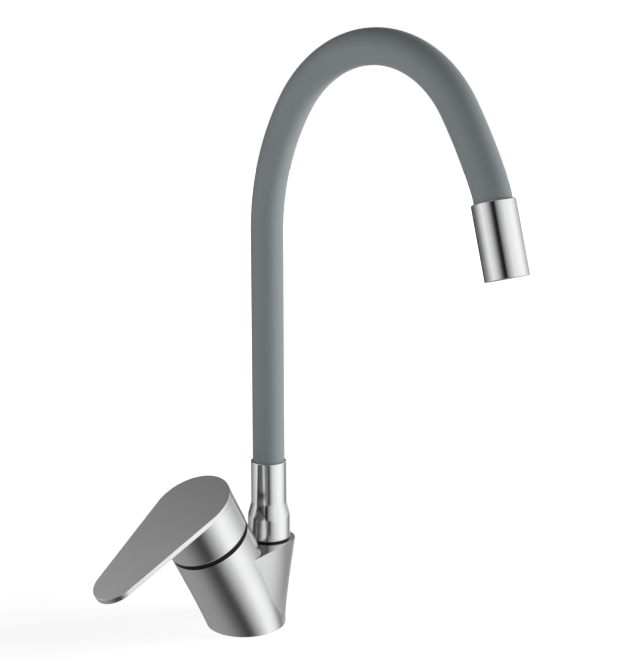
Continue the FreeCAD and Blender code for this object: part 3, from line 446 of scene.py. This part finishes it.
# Name, start and end along the route, the bodies before and after its bend, the place of the
# bend, and the solids it stands for
LENGTHS = (
    ("foot", None, RISER_SPLIT - ROUTE_START, "spout_base", "spout_riser",
     LOWER_BEND - ROUTE_START, ("foot", "flex_lower", "riser")),
    ("arm", RISER_SPLIT - ROUTE_START, CROWN_SPLIT, "spout_riser", "spout_crown",
     SHOULDER_END, ("riser", "flex_shoulder", "crown")),
    ("fall", CROWN_SPLIT, None, "spout_crown", "spout_outlet",
     CROWN_END, ("crown", "flex_outlet", "outlet")),
)
# Name, outer radius, wall, how far it stops short of the route's ends, finish and slot
LAYERS = (
    ("sleeve", 10.01 * MM, 2.43 * MM, 2.5 * MM, sleeve_silicone, "silicone"),
    ("gooseneck", 7.5 * MM, 2.4 * MM, 0.0, inner_steel, "inner_steel"),
    ("water_tube", 5.02 * MM, 1.3 * MM, 10.0 * MM, water_pipe, "tube"),
)
for layer, radius, wall, inset, finish, slot in LAYERS:
    for length_name, start, end, before, after, bend, stood_for in LENGTHS:
        low = inset if start is None else start
        high = ROUTE_LENGTH - inset if end is None else end
        tube = tube_along_route(f"{layer}_{length_name}_length", low, high, radius, wall)
        tube.data.materials.append(finish)
        line = bend_line(bend)
        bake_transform(tube)
        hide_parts(*(f"{layer}_{part}" for part in stood_for))


# Lever handle: a round cap with a thin skirt and the teardrop lever, cast in one. It is drawn
# upright and then leant onto the cartridge.

SEAM_RISE = 69.83 * MM
HANDLE_TOP = 99.53 * MM
CAP_RADIUS = 25.19 * MM
CAP_BOTTOM = 73.3 * MM
CAP_CEILING = 95.0 * MM
SKIRT_WALL = 1.2 * MM
SKIRT_EDGE = 0.2 * MM
HOLD_LOOP = 0.5 * MM
LEVER_THICKNESS = 3.2 * MM
LEVER_REACH = 64.84 * MM
LEVER_TIP_RADIUS = 13.8 * MM
LEVER_TURN = math.radians(1.94)
LEVER_EDGE = 0.4 * MM
LEVER_TOP_INSET = 0.1 * MM
BOSS_RADIUS = 8.5 * MM
BOSS_BOTTOM = 75.83 * MM
CAP_POINTS = 192
FLUSH = 0.01 * MM
STRAIGHT = math.radians(0.2)
HANDLE_SMOOTHING = math.radians(30)


def stand_on_cartridge(piece):
    """Lean a piece from upright onto the slanted cartridge axis and settle it in its mesh."""
    bpy.ops.object.select_all(action="DESELECT")
    piece.select_set(True)
    bpy.context.view_layer.objects.active = piece
    piece.rotation_euler = (0, -CARTRIDGE_TILT, 0)
    piece.location = (CARTRIDGE_FOOT, 0, 0)
    bpy.ops.object.transform_apply(location=True, rotation=True, scale=True)


def select_where(piece, kind, keep):
    """Select the vertices, edges or faces of the piece in edit mode that keep() accepts."""
    bpy.ops.mesh.select_mode(type=kind)
    bpy.ops.mesh.select_all(action="DESELECT")
    bpy.ops.object.mode_set(mode="OBJECT")
    mesh = piece.data
    items = {"VERT": mesh.vertices, "EDGE": mesh.edges, "FACE": mesh.polygons}[kind]
    for item in items:
        item.select = keep(item)
    bpy.ops.object.mode_set(mode="EDIT")


def heights(mesh, item):
    """The heights of an edge's or a face's corners."""
    return [mesh.vertices[i].co.z for i in item.vertices]


def lever_plate():
    """The flat teardrop: two circles wrapped together, thickened down and rounded on top."""
    tip = (-LEVER_REACH * math.cos(LEVER_TURN), -LEVER_REACH * math.sin(LEVER_TURN), HANDLE_TOP)
    plate = draw_ring("lever_plate", CAP_POINTS, CAP_RADIUS, (0, 0, HANDLE_TOP))
    bpy.ops.mesh.primitive_circle_add(
        vertices=CAP_POINTS, radius=LEVER_TIP_RADIUS, fill_type="NOTHING", location=tip)
    bpy.ops.mesh.select_all(action="SELECT")
    bpy.ops.mesh.convex_hull()
    bpy.ops.mesh.select_all(action="SELECT")
    bpy.ops.mesh.dissolve_limited(angle_limit=STRAIGHT)
    bpy.ops.mesh.select_all(action="SELECT")
    extrude((0, 0, -LEVER_THICKNESS))
    face_outward()
    mesh = plate.data
    select_where(plate, "EDGE", lambda edge: min(heights(mesh, edge)) > HANDLE_TOP - CLOSE)
    bpy.ops.mesh.bevel(offset=LEVER_EDGE, segments=4)
    select_where(plate, "FACE", lambda face: min(heights(mesh, face)) > HANDLE_TOP - CLOSE)
    bpy.ops.mesh.inset(thickness=LEVER_TOP_INSET)
    bpy.ops.mesh.select_mode(type="VERT")
    bpy.ops.object.mode_set(mode="OBJECT")
    return plate


def cap_shell():
    """The cap's wall, its ceiling and the boss that takes the stem, drawn as one turned form."""
    outer, inner = CAP_RADIUS - FLUSH, CAP_RADIUS - SKIRT_WALL
    top = HANDLE_TOP - LEVER_THICKNESS / 2
    shell = draw_ring("cap_shell", CAP_POINTS, outer, (0, 0, top))
    turned_profile(outer, top, (
        (outer, CAP_BOTTOM + HOLD_LOOP), (outer, CAP_BOTTOM), (inner, CAP_BOTTOM),
        (inner, CAP_BOTTOM + HOLD_LOOP), (inner, CAP_CEILING), (BOSS_RADIUS, CAP_CEILING),
        (BOSS_RADIUS, BOSS_BOTTOM),
    ))
    bpy.ops.mesh.edge_face_add()
    select_where(shell, "VERT", lambda vertex: vertex.co.z > top - CLOSE)
    bpy.ops.mesh.edge_face_add()
    face_outward()
    mesh = shell.data
    select_where(shell, "EDGE", lambda edge: max(heights(mesh, edge)) < CAP_BOTTOM + CLOSE)
    bpy.ops.mesh.bevel(offset=SKIRT_EDGE, segments=2)
    bpy.ops.object.mode_set(mode="OBJECT")
    return shell


plate = lever_plate()
handle = cap_shell()
bpy.ops.object.select_all(action="DESELECT")
plate.select_set(True)
handle.select_set(True)
bpy.context.view_layer.objects.active = handle
bpy.ops.object.join()
handle.name = "handle_casting"
stand_on_cartridge(handle)
bpy.ops.object.shade_smooth_by_angle(angle=HANDLE_SMOOTHING)
handle.data.materials.append(slanted_steel)
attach(handle, "lever")
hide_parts("lever_handle")


# Dark ring in the gap under the cap, a little tapered so that the cap can swing over it

RING_FOOT = SEAM_RISE + 0.02 * MM
RING_FOOT_RADIUS = 24.3 * MM
RING_LIP_RADIUS = 23.5 * MM
RING_RISE = 2.8 * MM
RING_BORE = 16.0 * MM
RING_EDGE = 0.25 * MM
RING_SMOOTHING = math.radians(35)

gap_ring = draw_ring("gap_ring", CAP_POINTS, RING_BORE, (0, 0, RING_FOOT))
turned_profile(RING_BORE, RING_FOOT, (
    (RING_FOOT_RADIUS, RING_FOOT), (RING_LIP_RADIUS, RING_FOOT + RING_RISE),
    (RING_BORE, RING_FOOT + RING_RISE), (RING_BORE, RING_FOOT),
))
weld()
stand_on_cartridge(gap_ring)
apply_modifier(gap_ring, "BEVEL", width=RING_EDGE, segments=2, limit_method="ANGLE")
bpy.ops.object.shade_smooth_by_angle(angle=RING_SMOOTHING)
gap_ring.data.materials.append(dark_plastic)
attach(gap_ring, "tap_body")
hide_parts("dust_ring")


# Floor: white paint that keeps the tap's shadow and fades to a plain glow further off. The
# steel looks past it into the studio.

FLOOR_SIZE = 12
FLOOR_DROP = 0.2 * MM
PAINT = (0.86, 0.86, 0.86, 1)
PAINT_SHINE = 0.1
GLOW = 1.45
GLOW_SEEN = 0.6
GLOW_BOUNCED = 0.55
FADE_START = 0.2
FADE_END = 0.8


def floor_paint():
    material, link, shader, add = node_material("floor_paint")
    shader.inputs["Base Color"].default_value = PAINT
    shader.inputs["Specular IOR Level"].default_value = PAINT_SHINE
    grain = add("ShaderNodeTexNoise", Scale=60.0)
    link(between(add, link, grain.outputs["Fac"], 0.85, 0.95), shader.inputs["Roughness"])
    seen = add("ShaderNodeLightPath")
    direct = reckon(add, link, "MAXIMUM", seen.outputs["Is Camera Ray"],
                    seen.outputs["Is Transmission Ray"])
    bounced = reckon(add, link, "MULTIPLY_ADD",
                     seen.outputs["Is Diffuse Ray"], GLOW_BOUNCED, direct)
    place = add("ShaderNodeTexCoord").outputs["Object"]
    away = vector_sum(add, link, "LENGTH", place).outputs["Value"]
    faded = between(add, link, away, GLOW_SEEN, 1.0, FADE_START, FADE_END)
    mix = add("ShaderNodeMixShader")
    link(reckon(add, link, "MULTIPLY", bounced, faded), mix.inputs["Fac"])
    link(shader.outputs["BSDF"], mix.inputs[1])
    link(add("ShaderNodeEmission", Strength=GLOW).outputs["Emission"], mix.inputs[2])
    link(mix.outputs["Shader"], material.node_tree.nodes["Material Output"].inputs["Surface"])
    return material


bpy.ops.object.select_all(action="DESELECT")
bpy.ops.mesh.primitive_plane_add(size=FLOOR_SIZE, location=(0, 0, -FLOOR_DROP))
floor = bpy.context.object
floor.name = "floor"
floor.data.materials.append(floor_paint())
floor.visible_glossy = False


# Studio round the tap: white where the camera sees it, and as a light bright at the horizon
# and dim overhead. The steel sees white panels and grey and black screens between them, by
# azimuth in four storeys. Azimuth is 0 at the front (-Y) and grows to the right (+X); the
# camera stands at -42.

DOWNWARD = [
    (-180, 0.31), (-134, 0.29), (-105, 0.25), (-78, 0.18), (-50, 0.1), (-28, 0.04), (-16, 0.06),
    (0, 0.34), (14, 0.62), (30, 0.98), (50, 0.95), (74, 0.72), (110, 0.4), (146, 0.22),
    (180, 0.31),
]
LEVEL = [
    (-180, 0.28), (-156, 0.48), (-128, 0.8), (-114, 0.62), (-100, 0.26), (-86, 0.27),
    (-70, 0.34), (-52, 0.2), (-46, 0.0), (-39, 0.0), (-34, 0.3), (-16, 0.82), (14, 1.0),
    (42, 1.0), (62, 0.77), (70, 0.58), (84, 0.25), (98, 0.2), (120, 0.7), (136, 0.6),
    (150, 0.2), (168, 0.2), (180, 0.28),
]
RISING = [
    (-180, 0.1), (-164, 0.25), (-124, 0.85), (-100, 0.65), (-70, 0.04), (-56, 0.0),
    (-42, 0.32), (-12, 0.8), (30, 1.0), (46, 0.96), (74, 0.62), (88, 0.46), (100, 0.44),
    (116, 0.85), (134, 0.2), (150, 0.04), (180, 0.1),
]
OVERHEAD = [
    (-180, 0.275), (-170, 0.42), (-150, 0.35), (-125, 0.18), (60, 0.15), (150, 0.08),
    (170, 0.11), (180, 0.275),
]
# Each upper storey, and the sines of elevation where it starts to show and is reached
UPPER_STOREYS = ((LEVEL, -0.42, -0.35), (RISING, -0.27, -0.2), (OVERHEAD, 0.4, 0.55))
PANEL_STRENGTH = 1.25
SKY_LOW = 0.72
SKY_HIGH = 0.02
SKY_TOP = 0.35
COLOUR_SOCKETS = (0, 6, 7)
COLOUR_RESULT = 2


def storey(add, link, azimuth, stops):
    """Greys by azimuth in degrees; azimuth comes as a share of the full round."""
    node = ramp(add, [((angle + 180) / 360, (tone,) * 3) for angle, tone in stops])
    link(azimuth, node.inputs["Fac"])
    return node.outputs["Color"]


def colour_mix(add, link, share, under, over):
    """Under, or over where the share is one; under is a socket or a plain colour."""
    node = add("ShaderNodeMix", data_type="RGBA")
    factor, first, second = (node.inputs[place] for place in COLOUR_SOCKETS)
    link(share, factor)
    if isinstance(under, bpy.types.NodeSocket):
        link(under, first)
    else:
        first.default_value = under
    link(over, second)
    return node.outputs[COLOUR_RESULT]


def studio_world():
    world = bpy.data.worlds.new("studio")
    world.use_nodes = True
    tree = world.node_tree
    link, add = tree.links.new, node_adder(tree)
    axes = add("ShaderNodeSeparateXYZ")
    link(add("ShaderNodeTexCoord").outputs["Generated"], axes.inputs["Vector"])
    behind = reckon(add, link, "MULTIPLY", axes.outputs["Y"], -1.0)
    angle = reckon(add, link, "ARCTAN2", axes.outputs["X"], behind)
    azimuth = between(add, link, angle, 0.0, 1.0, -math.pi, math.pi)
    rise = axes.outputs["Z"]
    panels = storey(add, link, azimuth, DOWNWARD)
    for stops, start, end in UPPER_STOREYS:
        fade = between(add, link, rise, 0.0, 1.0, start, end)
        panels = colour_mix(add, link, fade, panels, storey(add, link, azimuth, stops))
    seen = add("ShaderNodeLightPath")
    glossy = seen.outputs["Is Glossy Ray"]
    plain = reckon(add, link, "MAXIMUM", seen.outputs["Is Camera Ray"],
                   seen.outputs["Is Transmission Ray"])
    sky = between(add, link, rise, SKY_LOW, SKY_HIGH, end=SKY_TOP)
    strength = between(add, link, glossy, between(add, link, plain, sky, 1.0), PANEL_STRENGTH)
    back = tree.nodes["Background"]
    link(colour_mix(add, link, glossy, (1, 1, 1, 1), panels), back.inputs["Color"])
    link(strength, back.inputs["Strength"])
    return world


bpy.context.scene.world = studio_world()

LAMP_TARGET = (0, -0.05, 0.15)
LAMP_SIZE = (0.7, 1.0)


def soft_lamp(name, place, power):
    light = bpy.data.lights.new(name, "AREA")
    light.shape = "RECTANGLE"
    light.size, light.size_y = LAMP_SIZE
    light.energy = power
    lamp = bpy.data.objects.new(name, light)
    bpy.context.scene.collection.objects.link(lamp)
    lamp.location = place
    aim = Vector(LAMP_TARGET) - Vector(place)
    lamp.rotation_euler = aim.to_track_quat("-Z", "Y").to_euler()
    lamp.visible_glossy = False


soft_lamp("key_lamp", (1.3, -1.1, 0.45), 42)
soft_lamp("fill_lamp", (-1.4, -0.4, 0.4), 9)
